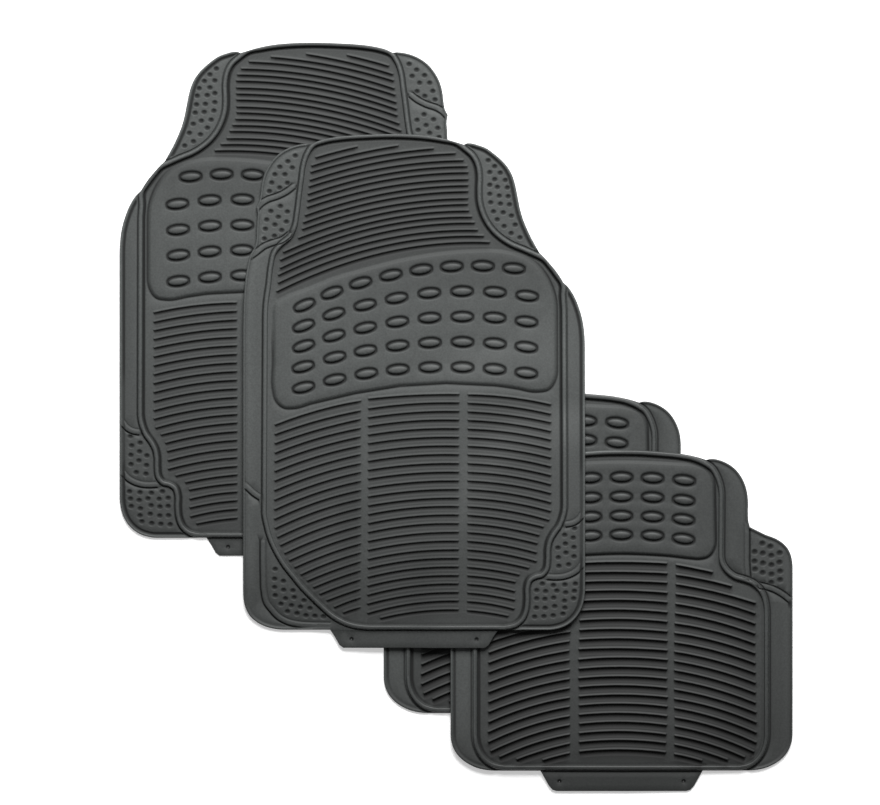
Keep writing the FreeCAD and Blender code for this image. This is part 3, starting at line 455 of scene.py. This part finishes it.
def relief(kind, m, P):
    """Height of the upper face over the sheet's flat face, how far each point is a crest (1) or
    a groove (-1), and the painted shade and painted highlights that darken or lighten the colour."""
    x, y = P[:, 0], P[:, 1]
    d_bead = dist_to(P, m["bead"], True)
    d_edge = dist_to(P, m["outline"], True)
    d_body = np.min([dist_to(P, b, False) for b in m["open_body"]], axis=0)
    level = -0.8 * (1 - smoothstep(y, -2.2, -0.2))
    d_pad = dist_to(P, m["pad"], True) * np.where(inside(P, m["pad"]), -1, 1)
    bevel = PAD_BEVEL[kind]
    level = level + PAD_H[kind] * (1 - smoothstep(d_pad, -bevel, bevel))
    # which way the bead lies from here: above, and to the right
    above_bead, right_bead = np.zeros(len(P)), np.zeros(len(P))
    k = np.where(d_bead < 16)[0]
    above_bead[k] = np.clip(d_bead[k] - dist_to(P[k] + np.array([0, 0.5]), m["bead"], True),
                            -0.5, 0.5) * 2
    right_bead[k] = np.clip(d_bead[k] - dist_to(P[k] + np.array([0.5, 0]), m["bead"], True),
                            -0.5, 0.5) * 2
    within = inside(P, m["bead"])
    in_l, in_r, out_l, out_r = SIDES[kind]
    side = (1 + right_bead) / 2
    across = np.clip(right_bead**2, 0, 1)
    inner = across * (in_l + (in_r - in_l) * side) + (1 - across) * np.where(above_bead > 0,
                                                                             0.6, 0.1)
    outer = across * (out_r + (out_l - out_r) * side) + (1 - across)
    # the pad's foot is cut deepest below it and on its right
    foot_cut = channel(d_pad, bevel * 0.2, bevel + 2.2, PAD_FOOT[kind])
    centre = m["pad"].mean(0)
    foot_cut *= np.clip(smoothstep(x - centre[0], 0, 60) * smoothstep(m["pad"][:, 1].max() - y,
                                                                      5, 40)
                        + smoothstep(centre[1] - y, 0, 40), 0, 1)
    up = ridge(d_bead, BEAD_W, BEAD_H, 5.0, 0.85)
    off_bead = smoothstep(d_bead, 5.2, 7.5) * smoothstep(y, -0.4, 0.4)
    rim = RIM_H * (1 - smoothstep(d_body, RIM_W - 1.5, RIM_W)) * off_bead
    # the lip's groove runs along one side only
    rim_side = 1.0
    if kind == "front":
        lip_side = 0.1 + 0.9 * smoothstep(x, -8, 8) * np.clip(
            smoothstep(y, 170, 235) + 1 - smoothstep(y, 90, 120), 0.5, 1)
    else:
        lip_side = 0.08 + 0.7 * (1 - smoothstep(x, -8, 8)) * (
            0.1 + 0.9 * smoothstep(y, 22, 58))
        rim_side = 1 - 0.6 * (x < 0) * (1 - smoothstep(y, 12, 45))
    up = np.maximum(up, rim * rim_side)
    down = np.where(within, channel(d_bead, *BEAD_IN[kind], 0.62) * inner,
                    channel(d_bead, *BEAD_OUT[kind]) * outer)
    down = np.minimum(down, foot_cut)
    down = np.minimum(down, channel(d_body, RIM_W - 0.4, 8.2, 1.7, 0.8) * off_bead * lip_side)
    for seam, (near, far) in zip(m["seams"], m["seam_cuts"]):
        Q = resample(seam, False, 3.0)
        lo, hi = Q.min(0) - 8, Q.max(0) + 8
        k = np.where((x > lo[0]) & (x < hi[0]) & (y > lo[1]) & (y < hi[1]))[0]
        d = dist_to(P[k], Q, False)
        up[k] = np.maximum(up[k], ridge(d, SEAM_W, SEAM_H, 5.0, 0.8)
                           * smoothstep(d_bead[k], 2.0, 5.0))
        # near is the cut on the right of the seam's own direction, far the one on its left
        q = np.argmin((x[k][:, None] - Q[None, :, 0]) ** 2 + (y[k][:, None] - Q[None, :, 1]) ** 2,
                      axis=1)
        T = np.gradient(Q, axis=0)[q]
        on_left = T[:, 0] * (y[k] - Q[q, 1]) - T[:, 1] * (x[k] - Q[q, 0]) > 0
        down[k] = np.minimum(down[k], channel(d, SEAM_W - 0.3, 5.6, 2.0)
                             * np.where(on_left, far, near) * smoothstep(d_edge[k], 1.0, 4.0))
    foot, rib_top = np.zeros(len(P)), np.zeros(len(P))
    for rib in m["ribs"]:
        Q = rib_line(rib)
        lo, hi = Q.min(0) - 16, Q.max(0) + 16
        k = np.where((x > lo[0]) & (x < hi[0]) & (y > lo[1]) & (y < hi[1]))[0]
        d = dist_to(P[k], Q, False)
        above = y[k] - np.interp(x[k], Q[:, 0], Q[:, 1])
        u = smoothstep(above / np.maximum(d, 1e-6), -0.6, 0.6)
        top = 0.5 + 0.5 * np.cos(math.pi * np.clip(d / RIB_UP, 0, 1))
        rib_top[k] = np.maximum(rib_top[k], u * top + (1 - u) * ridge(d, RIB_LOW, 1, 2.4, 0.8))
        past = np.maximum(Q[:, 0].min() - x[k], x[k] - Q[:, 0].max())
        low = (1 - u) * (1 - smoothstep(past, -1.5, 2.6))
        down[k] = np.minimum(down[k], low * channel(d, 0.4, RIB_END[kind], RIB_CUT[kind], 0.62))
        foot[k] = np.maximum(foot[k], low * (1 - smoothstep(d, 4.0, 18.0)))
    up = np.maximum(up, RIB_H[kind] * rib_top)
    painted_stud_light = np.ones(len(P))
    for cx, cy, tilt in m["studs"]:
        k = np.where((abs(x - cx) < 23) & (abs(y - cy) < 19))[0]
        w = math.radians(tilt)
        u = (x[k] - cx) * math.cos(w) + (y[k] - cy) * math.sin(w)
        v = -(x[k] - cx) * math.sin(w) + (y[k] - cy) * math.cos(w)
        r = np.hypot(u / STUD_A, v / STUD_B)
        # distance past the stud's foot, to first order
        g = np.maximum(np.hypot(u / STUD_A**2, v / STUD_B**2), 1e-6)
        d = (r * r - 1) / (2 * g)
        up[k] = np.maximum(up[k], STUD_H * np.clip(1 - r**2.6, 0, 1) ** 0.7)
        down[k] = np.minimum(down[k], channel(d, -0.6, MOAT_W, MOAT_D, 0.9))
        up[k] = np.maximum(up[k], -channel(d, MOAT_W - 0.2, MOAT_W + 2.5, m["lip"]))
        # painted highlight and painted shade on the studs: rear ones lighter along the upper edge and
        # darker on the crown, front ones a little darker all over
        t = v / STUD_B
        if kind == "front":
            stud_shade_and_highlight = np.full(len(k), 0.86)
        else:
            stud_shade_and_highlight = (1 - 0.34 * np.exp(-(t / 0.5) ** 2)
                    + 0.5 * np.exp(-((t - 0.85) / 0.25) ** 2) * np.exp(-(u / (0.6 * STUD_A)) ** 2))
        painted_stud_light[k] = np.where(r < 1, stud_shade_and_highlight, painted_stud_light[k])
    for cx, cy in m["pits"]:
        k = np.where((abs(x - cx) < 9) & (abs(y - cy) < 9))[0]
        r = np.hypot(x[k] - cx, (y[k] - cy) * 1.2) / PIT_R[kind]
        down[k] = np.minimum(down[k], -PIT_D * np.clip(1 - r * r, 0, 1) ** 1.3)
        # a soft swelling round each dimple
        swell = 0.35 * np.clip(1 - ((r - 1.3) / 0.4) ** 2, 0, 1)
        up[k] = np.maximum(up[k], swell * smoothstep(d_bead[k], 3, 6))
    z = level + up + down
    z -= 0.7 * (1 - np.clip(d_edge / 0.9, 0, 1)) ** 2
    for hx, hy in m["holes"]:
        d = np.hypot(x - hx, y - hy) - 2.5
        z -= np.where(d < 0.9, 0.5 * (1 - np.clip(d / 0.9, 0, 1)) ** 2, 0)
    z = np.maximum(z, -2.2)
    crest = np.clip(up / 2.4, 0, 1) + down / 1.2
    # painted shade in the grooves, less of it where the bead lies above
    shade = 1 - GROOVE_DARK * np.clip(-down / 1.5, 0, 1) ** 0.9 * (
        1 - 0.45 * np.clip(above_bead, 0, 1) * (d_bead < 9))
    # painted highlight and shade on the studs, and painted shadow below each rib
    shade *= painted_stud_light * (1 - PANEL_DARK[kind] * foot)
    # painted shadow inside the bead, just below it
    shade *= 1 - 0.45 * within * np.clip(above_bead, 0, 1) * (1 - smoothstep(d_bead, 4.0, 13.0))
    # painted shade on the rib crests
    shade *= 1 - {"front": 0.05, "rear": 0.12}[kind] * rib_top
    # painted highlight on the tallest crests, the bead and the studs
    shade *= 1 + 0.12 * np.clip((up - 1.2) / 2.0, 0, 1)
    if kind == "front":
        # painted shade inside the bead towards the nose
        shade *= 1 - 0.3 * within * smoothstep(y, 425.0, 500.0)
        # painted shade: darker towards the tab end
        shade *= 1 - 0.12 * (1 - smoothstep(y, 15.0, 80.0))
        # painted highlight along the rim on the right
        shade *= 1 + 0.5 * np.exp(-((d_body - 1.8) / 1.4) ** 2) * (x > 0) * off_bead
        # painted highlight in a band along the left edge
        shade *= 1 + 0.22 * np.exp(-((d_body - 7.0) / 2.4) ** 2) * (x < 0) * off_bead
    else:
        # painted light: the left strip outside the bead is lighter
        shade *= 1 + 0.6 * ~within * (1 - smoothstep(x, -12, 12)) * smoothstep(y, 2, 60)
        # painted highlight in a band along the right edge
        shade *= 1 + 0.2 * np.exp(-((d_body - 7.2) / 1.9) ** 2) * (x > 0) * off_bead
    return z, np.clip(crest, -1, 1), shade


class Plan:
    """Points and edges that the triangulation keeps."""

    def __init__(self):
        self.v, self.e, self.n = [], [], 0

    def add(self, Q, closed, keep=None):
        Q = np.asarray(Q, float)
        k = len(Q)
        keep = np.ones(k, bool) if keep is None else keep
        index = np.full(k, -1)
        index[keep] = np.arange(keep.sum()) + self.n
        self.v.append(Q[keep])
        self.n += int(keep.sum())
        for i in range(k if closed else k - 1):
            a, b = index[i], index[(i + 1) % k]
            if a >= 0 and b >= 0:
                self.e.append((int(a), int(b)))

    def offset(self, Q, closed, d, edge=None, clear=None):
        R = Q + normals_of(Q, closed) * d
        keep = dist_to(R, Q, closed) > abs(d) - 0.06
        if edge is not None:
            keep &= inside(R, edge) & (dist_to(R, edge, True) > 0.25)
        self.add(R, closed, keep)


def cdt(plan):
    pts = np.round(np.concatenate(plan.v), 2)
    out = delaunay_2d_cdt([Vector(p) for p in pts.tolist()], plan.e, [], 0, 2e-3)
    V = np.array([tuple(v) for v in out[0]])
    F = np.array([tuple(f) for f in out[2] if len(f) == 3])
    return V, F


def trimmed(V, F, outline, holes):
    c = V[F].mean(1)
    keep = inside(c, outline)
    for hx, hy in holes:
        keep &= np.hypot(c[:, 0] - hx, c[:, 1] - hy) > 2.44
    F = F[keep]
    a, b, c = V[F[:, 0]], V[F[:, 1]], V[F[:, 2]]
    area = (b[:, 0] - a[:, 0]) * (c[:, 1] - a[:, 1]) - (b[:, 1] - a[:, 1]) * (c[:, 0] - a[:, 0])
    F[area < 0] = F[area < 0][:, ::-1]
    used = np.unique(F)
    remap = np.full(len(V), -1)
    remap[used] = np.arange(len(used))
    return V[used], remap[F]


def rim_edges(F):
    """Directed edges with one face only."""
    E = np.concatenate([F[:, [0, 1]], F[:, [1, 2]], F[:, [2, 0]]])
    seen = {}
    for a, b in E.tolist():
        key = (a, b) if a < b else (b, a)
        seen.setdefault(key, []).append((a, b))
    return [v[0] for v in seen.values() if len(v) == 1]


HOLE_RING = [(2.5 * math.cos(2 * math.pi * i / 24), 2.5 * math.sin(2 * math.pi * i / 24))
             for i in range(24)]


def flat_mesh(kind):
    """Upper face and underside of one moulding, in its own plane. Returns points, height over
    the sheet's underside, crest value and triangles."""
    m = moulding(kind)
    o = np.round(m["outline"], 2)
    plan = Plan()
    plan.add(o, True)
    for d in (0.35, 0.9):
        plan.offset(o, True, -d if inside(np.array([o[5] + normals_of(o, True)[5] * -0.2]),
                                          o)[0] else d, o)
    for body in m["open_body"]:
        s = -1 if inside(np.array([body[5] + normals_of(body, False)[5] * -0.2]), o)[0] else 1
        for d in (RIM_W - 1.5, RIM_W - 0.7, RIM_W, 4.6, 5.4, 6.3, 7.2, 8.2):
            plan.offset(body, False, s * d, o)
    b = m["bead"]
    within = -1 if inside(np.array([b[5] - normals_of(b, True)[5] * 0.3]), b)[0] else 1
    for d in (0, 1.3, 2.2, 2.8, 3.15, 3.3, 3.7, 4.4, 5.2):
        for s in ((1,) if d == 0 else (1, -1)):
            plan.offset(b, True, s * d, o)
    for d in (6.0, 7.1, 8.2):
        plan.offset(b, True, within * d, o)
    for d in (6.1, 7.0):
        plan.offset(b, True, -within * d, o)
    pad_out = 1 if inside(np.array([m["pad"][5] - normals_of(m["pad"], True)[5] * 0.3]),
                          m["pad"])[0] else -1
    for d in (-1, -0.5, 0, 0.5, 1):
        plan.offset(m["pad"], True, pad_out * d * PAD_BEVEL[kind], o)
    for d in (0.7, 1.4, 2.2):
        plan.offset(m["pad"], True, pad_out * (d + PAD_BEVEL[kind]), o)
    for seam in m["seams"]:
        Q = resample(seam, False, 3.0)
        for d in (0, 1.5, 2.5, 2.95, 3.1, 3.7, 4.4, 5.0, 5.6):
            for s in ((1,) if d == 0 else (1, -1)):
                plan.offset(Q, False, s * d, o)
    for rib in m["ribs"]:
        Q = rib_line(rib)
        plan.add(Q, False)
        for r_up, r_low in ((0.7, 0.6), (1.5, 1.1), (2.4, 1.5), (3.3, 2.1), (3.5, 2.9),
                            (3.7, 3.9)):
            plan.add(capsule(Q, r_up, r_low), True)
        for f in (0.84, 1.0):
            low = RIB_END[kind] * f
            plan.offset(Q, False, -low, o)
    n = 28
    for cx, cy, tilt in m["studs"]:
        w = math.radians(tilt)
        plan.add([(cx, cy)], False)
        for ra, rb in [(0.45, 0.45), (0.7, 0.7), (0.86, 0.86), (0.95, 0.95)]:
            ring = [(ra * STUD_A * math.cos(t), rb * STUD_B * math.sin(t))
                    for t in np.arange(n) * 2 * math.pi / n]
            plan.add([(cx + u * math.cos(w) - v * math.sin(w),
                       cy + u * math.sin(w) + v * math.cos(w)) for u, v in ring], True)
        for d in (0, 0.6, 1.25, 1.9, 2.5, MOAT_W, MOAT_W + 1.2, MOAT_W + 2.5):
            ring = [((STUD_A + d) * math.cos(t), (STUD_B + d) * math.sin(t))
                    for t in np.arange(n) * 2 * math.pi / n]
            plan.add([(cx + u * math.cos(w) - v * math.sin(w),
                       cy + u * math.sin(w) + v * math.cos(w)) for u, v in ring], True)
    for cx, cy in m["pits"]:
        plan.add([(cx, cy)], False)
        for r in np.array([0.25, 0.48, 0.7, 0.88, 1.0, 1.3]) * PIT_R[kind]:
            plan.add([(cx + r * math.cos(t), cy + r * math.sin(t))
                      for t in np.arange(12) * math.pi / 6], True)
    x0, y0 = o.min(0)
    x1, y1 = o.max(0)
    line = np.array([(x, -0.2) for x in np.arange(-110, 110, 4.0)])
    for dy in (0.0, -1.0, -2.0):
        q = line + np.array([0, dy])
        plan.add(q, False, inside(q, o) & (dist_to(q, o, True) > 0.3))
    for hx, hy in m["holes"]:
        for r in (2.5, 2.8, 3.4):
            plan.add([(hx + u * r / 2.5, hy + v * r / 2.5) for u, v in HOLE_RING], True)
    # loose points keep the flats fine enough to drape
    pts = np.concatenate(plan.v)
    gx, gy = np.meshgrid(np.arange(x0, x1, 9.0), np.arange(y0, y1, 9.0))
    g = np.stack([gx.ravel(), gy.ravel()], 1)
    g = g[inside(g, o)]
    g = g[dist_to(g, o, True) > 3]
    cells = set(map(tuple, np.floor(pts / 3.0).astype(int).tolist()))
    g = np.array([p for p in g.tolist() if not any(
        (int(p[0] // 3.0) + i, int(p[1] // 3.0) + j) in cells
        for i in (-1, 0, 1) for j in (-1, 0, 1))] or [[0.0, 200.0]])
    for p in g:
        plan.add([p], False)
    V, F = trimmed(*cdt(plan), o, m["holes"])
    z, crest, shade = relief(kind, m, V)
    z = z + T_SHEET
    # underside: the same edge, with a coarse grid inside
    edges = rim_edges(F)
    ring = sorted({i for e in edges for i in e})
    local = {i: j for j, i in enumerate(ring)}
    under = Plan()
    under.v.append(V[ring])
    under.n = len(ring)
    under.e = [(local[a], local[b]) for a, b in edges]
    gx, gy = np.meshgrid(np.arange(x0 + 5, x1, 10.0), np.arange(y0 + 5, y1, 10.0))
    g = np.stack([gx.ravel(), gy.ravel()], 1)
    g = g[inside(g, o)]
    g = g[dist_to(g, o, True) > 3]
    for hx, hy in m["holes"]:
        g = g[np.hypot(g[:, 0] - hx, g[:, 1] - hy) > 4]
    under.v.append(g)
    under.n += len(g)
    pts = np.concatenate(under.v)
    out = delaunay_2d_cdt([Vector(p) for p in pts.tolist()], under.e, [], 0, 1e-6)
    UV = np.array([tuple(v) for v in out[0]])
    UF = np.array([tuple(f) for f in out[2] if len(f) == 3])
    origin = [list(i) for i in out[3]]
    UV2, UF2, back = UV, UF, {}
    c = UV[UF].mean(1)
    keep = inside(c, o)
    for hx, hy in m["holes"]:
        keep &= np.hypot(c[:, 0] - hx, c[:, 1] - hy) > 2.44
    UF = UF[keep]
    a, b, c = UV[UF[:, 0]], UV[UF[:, 1]], UV[UF[:, 2]]
    area = (b[:, 0] - a[:, 0]) * (c[:, 1] - a[:, 1]) - (b[:, 1] - a[:, 1]) * (c[:, 0] - a[:, 0])
    UF[area > 0] = UF[area > 0][:, ::-1]
    # where each edge point of the upper face went in the underside
    for j, ins in enumerate(origin):
        for i in ins:
            if i < len(ring):
                back[ring[i]] = j
    n0 = len(V)
    faces = F.tolist() + (UF + n0).tolist()
    for a, b in edges:
        faces.append([b, a, back[a] + n0, back[b] + n0])
    # the tab holes taper a little towards the underside
    # painted shade for the underside points, darkened at the holes below
    dark = np.ones(len(UV))
    for hx, hy in m["holes"]:
        k = np.where(np.hypot(UV[:, 0] - hx, UV[:, 1] - hy) < 2.6)[0]
        UV[k] = np.array([hx, hy]) + (UV[k] - np.array([hx, hy])) * 0.1
        # painted shade: the hole walls go dark, and so does the upper face right round each hole
        dark[k] = 0.12
        shade[np.hypot(V[:, 0] - hx, V[:, 1] - hy) < 2.9] = 0.3
    allv = np.concatenate([V, UV])
    allz = np.concatenate([z, np.zeros(len(UV))])
    allc = np.concatenate([crest, np.zeros(len(UV))])
    alls = np.concatenate([shade, dark])
    return {"P": allv, "z": allz, "crest": allc, "shade": alls, "faces": faces}


# ---- drape, as in the CAD ----------------------------------------------------------------------
PLACES = {
    "front_mat_left": ("front", (-221.8, -161.9), -1, "front_left"),
    "rear_mat_left": ("rear", (131.9, -396.6), 1, "rear_left"),
    "rear_mat_right": ("rear", (221.4, -473.4), 1, "rear_right"),
    "front_mat_right": ("front", (-56.3, -284.9), 1, "front_right"),
}
RESTS_ON = {
    "front_mat_left": [],
    "rear_mat_left": ["front_mat_left"],
    "rear_mat_right": ["rear_mat_left"],
    "front_mat_right": ["front_mat_left", "rear_mat_left", "rear_mat_right"],
}


def hull_of(points):
    pts = sorted(set(points))

    def half(seq):
        out = []
        for p in seq:
            while len(out) > 1 and ((out[-1][0] - out[-2][0]) * (p[1] - out[-2][1])
                                    - (out[-1][1] - out[-2][1]) * (p[0] - out[-2][0])) <= 0:
                out.pop()
            out.append(p)
        return out[:-1]

    return half(pts) + half(pts[::-1])


def control_points(kind):
    if kind == "front":
        return [p for s in FRONT_BODY + [FRONT_TAB] + FRONT_BODY_2 for p in s]
    half = [p for s in REAR_HALF + [REAR_TAB] for p in s]
    return half + mirrored(half)


# the CAD moved the whole set by a hair to centre it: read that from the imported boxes
def placed(name):
    kind, (ox, oy), hand, body = PLACES[name]
    return kind, ox + SHIFT[0], oy + SHIFT[1], hand


_lo, _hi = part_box("front_mat_left")
_cp = np.array(control_points("front"))
SHIFT = (_lo[0] * 1000 - (-221.8 - _cp[:, 0].max()), _lo[1] * 1000 - (-161.9 + _cp[:, 1].min()))
HULLS = {}
for _name in PLACES:
    _kind, _x, _y, _hand = placed(_name)
    HULLS[_name] = np.array(hull_of([(round(_x + _hand * p[0], 4), round(_y + p[1], 4))
                                     for p in control_points(_kind)]))


def support(name, P):
    H = HULLS[name]
    d = np.where(inside(P, H), 0.0, dist_to(P, H, True))
    s = np.clip(d / RAMP, 0, 1)
    return 1 - s * s * (3 - 2 * s)


def underside(name, P):
    total = np.zeros(len(P))
    for lower in RESTS_ON[name]:
        total += ((underside(lower, P) + MAT_H + STACK_GAP) * support(lower, P)) ** 8
    return total ** 0.125


# ---- rubber ------------------------------------------------------------------------------------
def rubber(name, tone):
    """Moulded matte rubber: fine grain, faint cloudiness, a polish on the crests, and the painted shade
    and painted highlights of the tone attribute; crests a little lighter where worn, grooves a little
    darker as painted shade."""
    mat = bpy.data.materials.new(name)
    mat.use_nodes = True
    nt = mat.node_tree
    nt.nodes.clear()
    N = nt.nodes.new
    L = nt.links.new
    out = N("ShaderNodeOutputMaterial")
    bsdf = N("ShaderNodeBsdfPrincipled")
    L(bsdf.outputs[0], out.inputs[0])
    coord = N("ShaderNodeTexCoord")

    def noise(scale, detail, rough=0.5):
        n = N("ShaderNodeTexNoise")
        n.inputs["Scale"].default_value = scale
        n.inputs["Detail"].default_value = detail
        n.inputs["Roughness"].default_value = rough
        L(coord.outputs["Object"], n.inputs["Vector"])
        return n

    cloud = noise(9.0, 3.0)
    speck = noise(420.0, 3.0, 0.6)
    grain = noise(1500.0, 2.0, 0.55)
    crest = N("ShaderNodeAttribute")
    crest.attribute_type = "GEOMETRY"
    crest.attribute_name = "crest"
    # the tone attribute carries painted shade and painted highlights
    shade = N("ShaderNodeAttribute")
    shade.attribute_type = "GEOMETRY"
    shade.attribute_name = "tone"

    def ramp(src, stops):
        r = N("ShaderNodeValToRGB")
        els = r.color_ramp.elements
        while len(els) < len(stops):
            els.new(0.5)
        for e, (pos, col) in zip(els, stops):
            e.position = pos
            e.color = (*col, 1)
        L(src, r.inputs[0])
        return r

    t = tone
    base = ramp(cloud.outputs["Fac"], [(0.3, (t * 0.89, t * 0.97, t * 0.945)),
                                       (0.7, (t * 1.01, t * 1.09, t * 1.065))])
    # crests a little lighter where worn, grooves a little darker as painted shade
    wear_and_groove_shade = N("ShaderNodeMapRange")
    wear_and_groove_shade.inputs["From Min"].default_value = -1.0
    wear_and_groove_shade.inputs["From Max"].default_value = 1.0
    wear_and_groove_shade.inputs["To Min"].default_value = 0.97
    wear_and_groove_shade.inputs["To Max"].default_value = 1.03
    L(crest.outputs["Fac"], wear_and_groove_shade.inputs["Value"])
    m1 = N("ShaderNodeMath")
    m1.operation = "MULTIPLY"
    L(wear_and_groove_shade.outputs[0], m1.inputs[0])
    L(shade.outputs["Fac"], m1.inputs[1])
    spk = N("ShaderNodeMapRange")
    spk.inputs["From Min"].default_value = 0.3
    spk.inputs["From Max"].default_value = 0.7
    spk.inputs["To Min"].default_value = 0.8
    spk.inputs["To Max"].default_value = 1.2
    L(speck.outputs["Fac"], spk.inputs["Value"])
    m2 = N("ShaderNodeMath")
    m2.operation = "MULTIPLY"
    L(m1.outputs[0], m2.inputs[0])
    L(spk.outputs[0], m2.inputs[1])
    mul = N("ShaderNodeVectorMath")
    mul.operation = "SCALE"
    L(base.outputs["Color"], mul.inputs[0])
    L(m2.outputs[0], mul.inputs["Scale"])
    L(mul.outputs[0], bsdf.inputs["Base Color"])
    rough = N("ShaderNodeMapRange")
    rough.inputs["From Min"].default_value = -1.0
    rough.inputs["From Max"].default_value = 1.0
    rough.inputs["To Min"].default_value = 0.86
    rough.inputs["To Max"].default_value = 0.52
    L(crest.outputs["Fac"], rough.inputs["Value"])
    r2 = N("ShaderNodeMath")
    r2.operation = "MULTIPLY_ADD"
    L(speck.outputs["Fac"], r2.inputs[0])
    r2.inputs[1].default_value = 0.12
    r2.inputs[2].default_value = -0.06
    r3 = N("ShaderNodeMath")
    r3.operation = "ADD"
    L(rough.outputs[0], r3.inputs[0])
    L(r2.outputs[0], r3.inputs[1])
    L(r3.outputs[0], bsdf.inputs["Roughness"])
    bsdf.inputs["Specular IOR Level"].default_value = 0.42
    bsdf.inputs["IOR"].default_value = 1.5
    b1 = N("ShaderNodeBump")
    b1.inputs["Strength"].default_value = 0.35
    b1.inputs["Distance"].default_value = 0.00022
    L(speck.outputs["Fac"], b1.inputs["Height"])
    b2 = N("ShaderNodeBump")
    b2.inputs["Strength"].default_value = 0.25
    b2.inputs["Distance"].default_value = 0.0001
    L(grain.outputs["Fac"], b2.inputs["Height"])
    L(b1.outputs[0], b2.inputs["Normal"])
    L(b2.outputs[0], bsdf.inputs["Normal"])
    return mat


TONE = {"front": 0.054, "rear": 0.036}
MAT_TONE = {"rear_mat_left": 1.12}          # tone: one mat is lighter
RUBBER = {k: rubber("rubber_" + k, TONE[k]) for k in ("front", "rear")}
FLAT = {k: flat_mesh(k) for k in ("front", "rear")}

for name in PLACES:
    kind, ox, oy, hand = placed(name)
    body = PLACES[name][3]
    f = FLAT[kind]
    X = np.stack([ox + hand * f["P"][:, 0], oy + f["P"][:, 1]], 1)
    z = f["z"] + underside(name, X) + (FLOOR_GAP if RESTS_ON[name] else 0.0)
    co = np.column_stack([X, z]) / 1000.0
    faces = f["faces"] if hand > 0 else [t[::-1] for t in f["faces"]]
    mesh = bpy.data.meshes.new(name + "_moulding")
    mesh.from_pydata(co.tolist(), [], faces)
    mesh.validate()
    mesh.update()
    at = mesh.attributes.new("crest", "FLOAT", "POINT")
    at.data.foreach_set("value", f["crest"].astype(np.float32))
    length = f["P"][:, 1].max()
    # painted shade: each mat darker towards its tab end
    low = smoothstep(f["P"][:, 1], -12.0, length * 0.62)
    at = mesh.attributes.new("tone", "FLOAT", "POINT")
    at.data.foreach_set("value", (f["shade"] * (0.67 + 0.35 * low)
                                    * MAT_TONE.get(name, 1.0)).astype(np.float32))
    mesh.shade_smooth()
    mesh.set_sharp_from_angle(angle=math.radians(62))
    obj = bpy.data.objects.new(name + "_moulding", mesh)
    bpy.context.collection.objects.link(obj)
    mesh.materials.append(RUBBER[kind])
    print("PIECE", obj.name, "triangles", sum(len(p.vertices) - 2 for p in mesh.polygons))
    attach(obj, body)
    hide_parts(name)

# ---- stage ---------------------------------------------------------------------------------------
floor_mesh = bpy.data.meshes.new("floor")
S = 6.0
floor_mesh.from_pydata([(-S, -S, -0.0002), (S, -S, -0.0002), (S, S, -0.0002), (-S, S, -0.0002)],
                       [], [(0, 1, 2, 3)])
floor = bpy.data.objects.new("floor", floor_mesh)
bpy.context.collection.objects.link(floor)
fm = bpy.data.materials.new("floor_pale")
fm.use_nodes = True
fb = fm.node_tree.nodes["Principled BSDF"]
fb.inputs["Base Color"].default_value = (0.9, 0.9, 0.9, 1)
fb.inputs["Roughness"].default_value = 0.9
fb.inputs["Specular IOR Level"].default_value = 0.1
fb.inputs["Emission Color"].default_value = (1, 1, 1, 1)
fb.inputs["Emission Strength"].default_value = 0.4
floor_mesh.materials.append(fm)


def area(name, loc, target, size, power, size_y=None):
    data = bpy.data.lights.new(name, "AREA")
    data.shape = "RECTANGLE"
    data.size, data.size_y = size, size_y or size
    data.energy = power
    o = bpy.data.objects.new(name, data)
    o.location = loc
    o.rotation_mode = "QUATERNION"
    o.rotation_quaternion = (Vector(target) - Vector(loc)).to_track_quat("-Z", "Y")
    bpy.context.collection.objects.link(o)
    return o


area("key", (0.35, 3.2, 3.2), (0, 0.0, 0), 2.4, 400, 3.0)
area("fill", (-0.3, -0.6, 3.6), (0, 0, 0), 3.0, 12)
world = bpy.data.worlds.new("studio")
world.use_nodes = True
world.node_tree.nodes["Background"].inputs[0].default_value = (1, 1, 1, 1)
world.node_tree.nodes["Background"].inputs[1].default_value = 0.07
bpy.context.scene.world = world
bpy.context.scene.view_settings.view_transform = "Standard"
bpy.context.scene.view_settings.look = "None"

# ---- camera: straight down on the set --------------------------------------------------------------
cam_data = bpy.data.cameras.new("camera")
cam = bpy.data.objects.new("camera", cam_data)
bpy.context.collection.objects.link(cam)
cam_data.sensor_width = 36.0
DIST, FRAME_W = 7.0, 1.1764
cam_data.lens = 36.0 * DIST / FRAME_W
cam_data.clip_end = 50.0
cam.location = (-0.0215, 0.0192, DIST + 0.012)
cam.rotation_euler = (0, 0, 0)
bpy.context.scene.camera = cam

bpy.context.view_layer.update()
